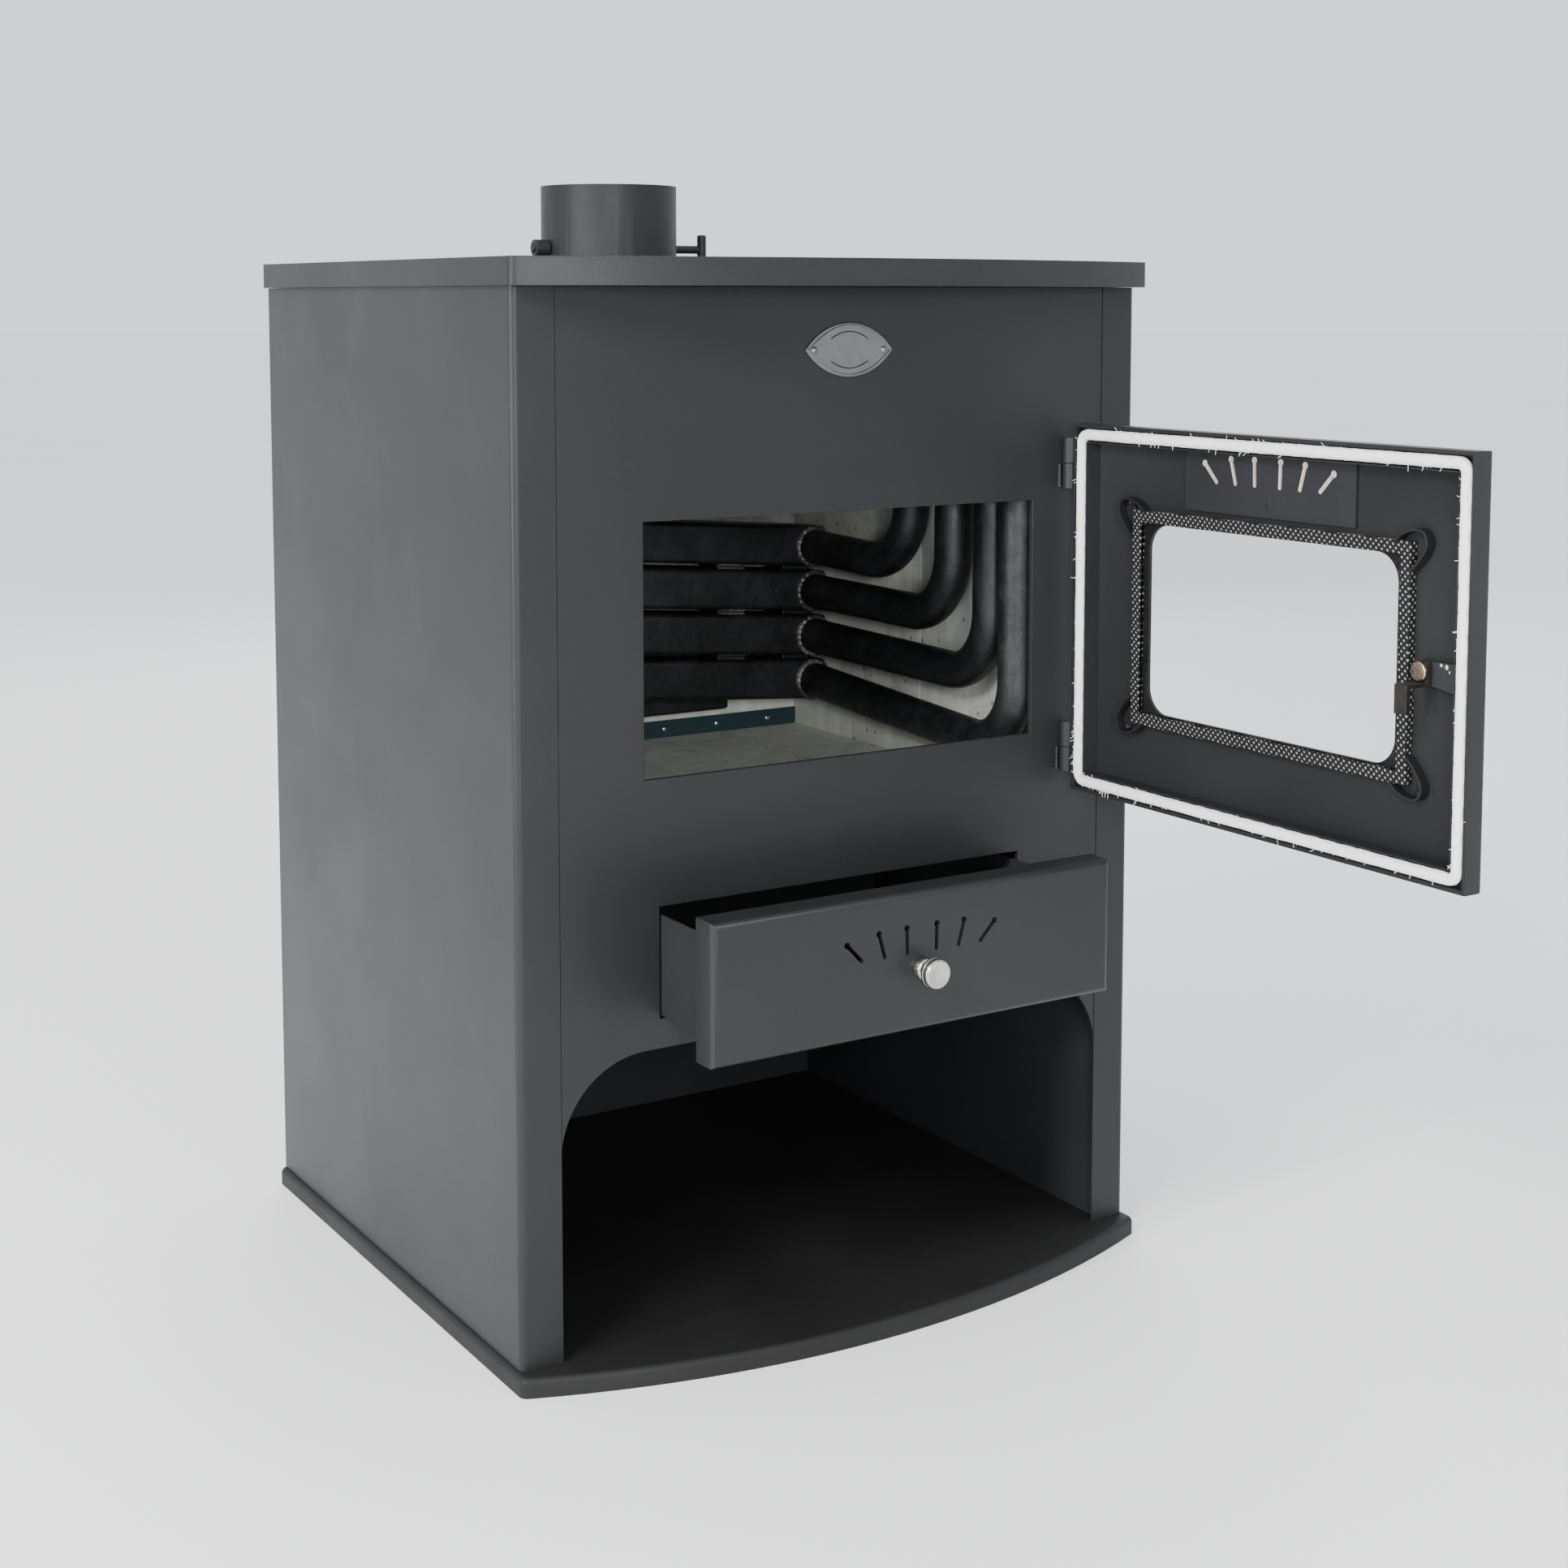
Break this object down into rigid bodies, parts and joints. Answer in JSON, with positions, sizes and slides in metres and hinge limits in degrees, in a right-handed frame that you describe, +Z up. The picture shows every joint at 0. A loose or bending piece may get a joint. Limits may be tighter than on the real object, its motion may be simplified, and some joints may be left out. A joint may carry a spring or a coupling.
{
  "type": "wood burning stove",
  "caption": "Upright sheet-steel wood burning stove with a glazed fire door, ash drawer, open wood store, back-boiler tubes and a top flue collar.",
  "frame": {"origin": "on the floor, under the middle of the casing, on the underside of the middle base channel", "axes": "+Z up, front faces -Y, +X to the right seen from the front"},
  "size_m": [0.618, 1.009, 0.958],
  "materials": {
    "painted_sheet": "satin heat-proof graphite paint",
    "painted_plate": "matt heat-proof graphite paint",
    "bare_plate": "bare sheet steel with mill marks",
    "blued_strip": "dark blue-green painted strip",
    "bright_rivet": "bright",
    "boiler_tube": "black oxide and soot",
    "socket_steel": "turned steel",
    "cast_grate": "as cast",
    "flue_paint": "matt graphite paint",
    "badge_metal": "dark brushed",
    "hinge_steel": "satin graphite paint",
    "rope_gasket": "white knitted glass-fibre rope",
    "glass_tape": "black and white knitted glass-fibre tape",
    "window_glass": "clear glass ceramic",
    "clip_steel": "matt black",
    "latch_steel": "zinc plated, heat tinted",
    "knob_nickel": "turned satin nickel"
  },
  "bodies": {
    "stove": {"ash_shelf": "painted_plate", "badge": "badge_metal", "badge_rivets": "badge_metal", "baffle": "boiler_tube", "base_plate": "painted_sheet", "base_stiffeners": "painted_plate", "body_rear": "painted_plate", "body_side_left": "painted_plate", "body_side_right": "painted_plate", "body_top": "painted_plate", "drawer_runners": "painted_plate", "firebox_floor": "bare_plate", "floor_strip": "blued_strip", "flue_collar": "flue_paint", "front_panel": "painted_sheet", "grate": "cast_grate", "hinge_frame_halves": "hinge_steel", "hinge_pins": "hinge_steel", "jacket_left": "painted_sheet", "jacket_right": "painted_sheet", "left_pipes": "boiler_tube", "liner_left": "bare_plate", "liner_rear": "bare_plate", "liner_right": "bare_plate", "lower_header": "boiler_tube", "rear_panel": "painted_sheet", "right_pipe_1": "boiler_tube", "right_pipe_2": "boiler_tube", "right_pipe_3": "boiler_tube", "right_pipe_4": "boiler_tube", "strip_rivets": "bright_rivet", "top_manifolds": "boiler_tube", "top_plate": "painted_sheet", "tube_links": "boiler_tube", "water_sockets": "socket_steel", "water_tube_1": "boiler_tube", "water_tube_2": "boiler_tube", "water_tube_3": "boiler_tube", "water_tube_4": "boiler_tube"},
    "latch": {"latch_spindle": "latch_steel", "latch_hook": "latch_steel", "door_handle": "latch_steel"},
    "door_air": {"door_shutter": "painted_plate", "door_air_knob": "knob_nickel"},
    "drawer": {"drawer_box": "painted_plate", "drawer_front": "painted_sheet"},
    "drawer_air": {"drawer_shutter": "painted_plate", "drawer_knob": "knob_nickel"},
    "damper": {"damper_disc": "flue_paint", "damper_spindle": "flue_paint", "damper_handle": "flue_paint"},
    "door": {"door_panel": "painted_sheet", "gasket_channel": "painted_plate", "door_gasket": "rope_gasket", "door_glass": "window_glass", "glass_gasket": "glass_tape", "glass_clips": "clip_steel", "clip_screws": "bright_rivet", "latch_plate": "painted_plate", "hinge_door_halves": "hinge_steel"}
  },
  "joints": [
    {"name": "door_hinge", "type": "hinge", "parent": "stove", "child": "door", "pos_m": [0.226, -0.2715, 0.58], "axis": [0, 0, 1], "range_deg": [-90, 30]},
    {"name": "latch_turn", "type": "hinge", "parent": "door", "child": "latch", "pos_m": [0.241, -0.6755, 0.5805], "axis": [-1, 0, 0], "range_deg": [0, 90]},
    {"name": "door_air_slide", "type": "slide", "parent": "door", "child": "door_air", "axis": [0, -1, 0], "range_m": [0, 0.006]},
    {"name": "drawer_slide", "type": "slide", "parent": "stove", "child": "drawer", "axis": [0, -1, 0], "range_m": [-0.0815, 0.2]},
    {"name": "drawer_air_slide", "type": "slide", "parent": "drawer", "child": "drawer_air", "axis": [1, 0, 0], "range_m": [0, 0.006]},
    {"name": "damper_turn", "type": "hinge", "parent": "stove", "child": "damper", "pos_m": [0, 0.1535, 0.899], "axis": [1, 0, 0], "range_deg": [0, 90]}
  ]
}
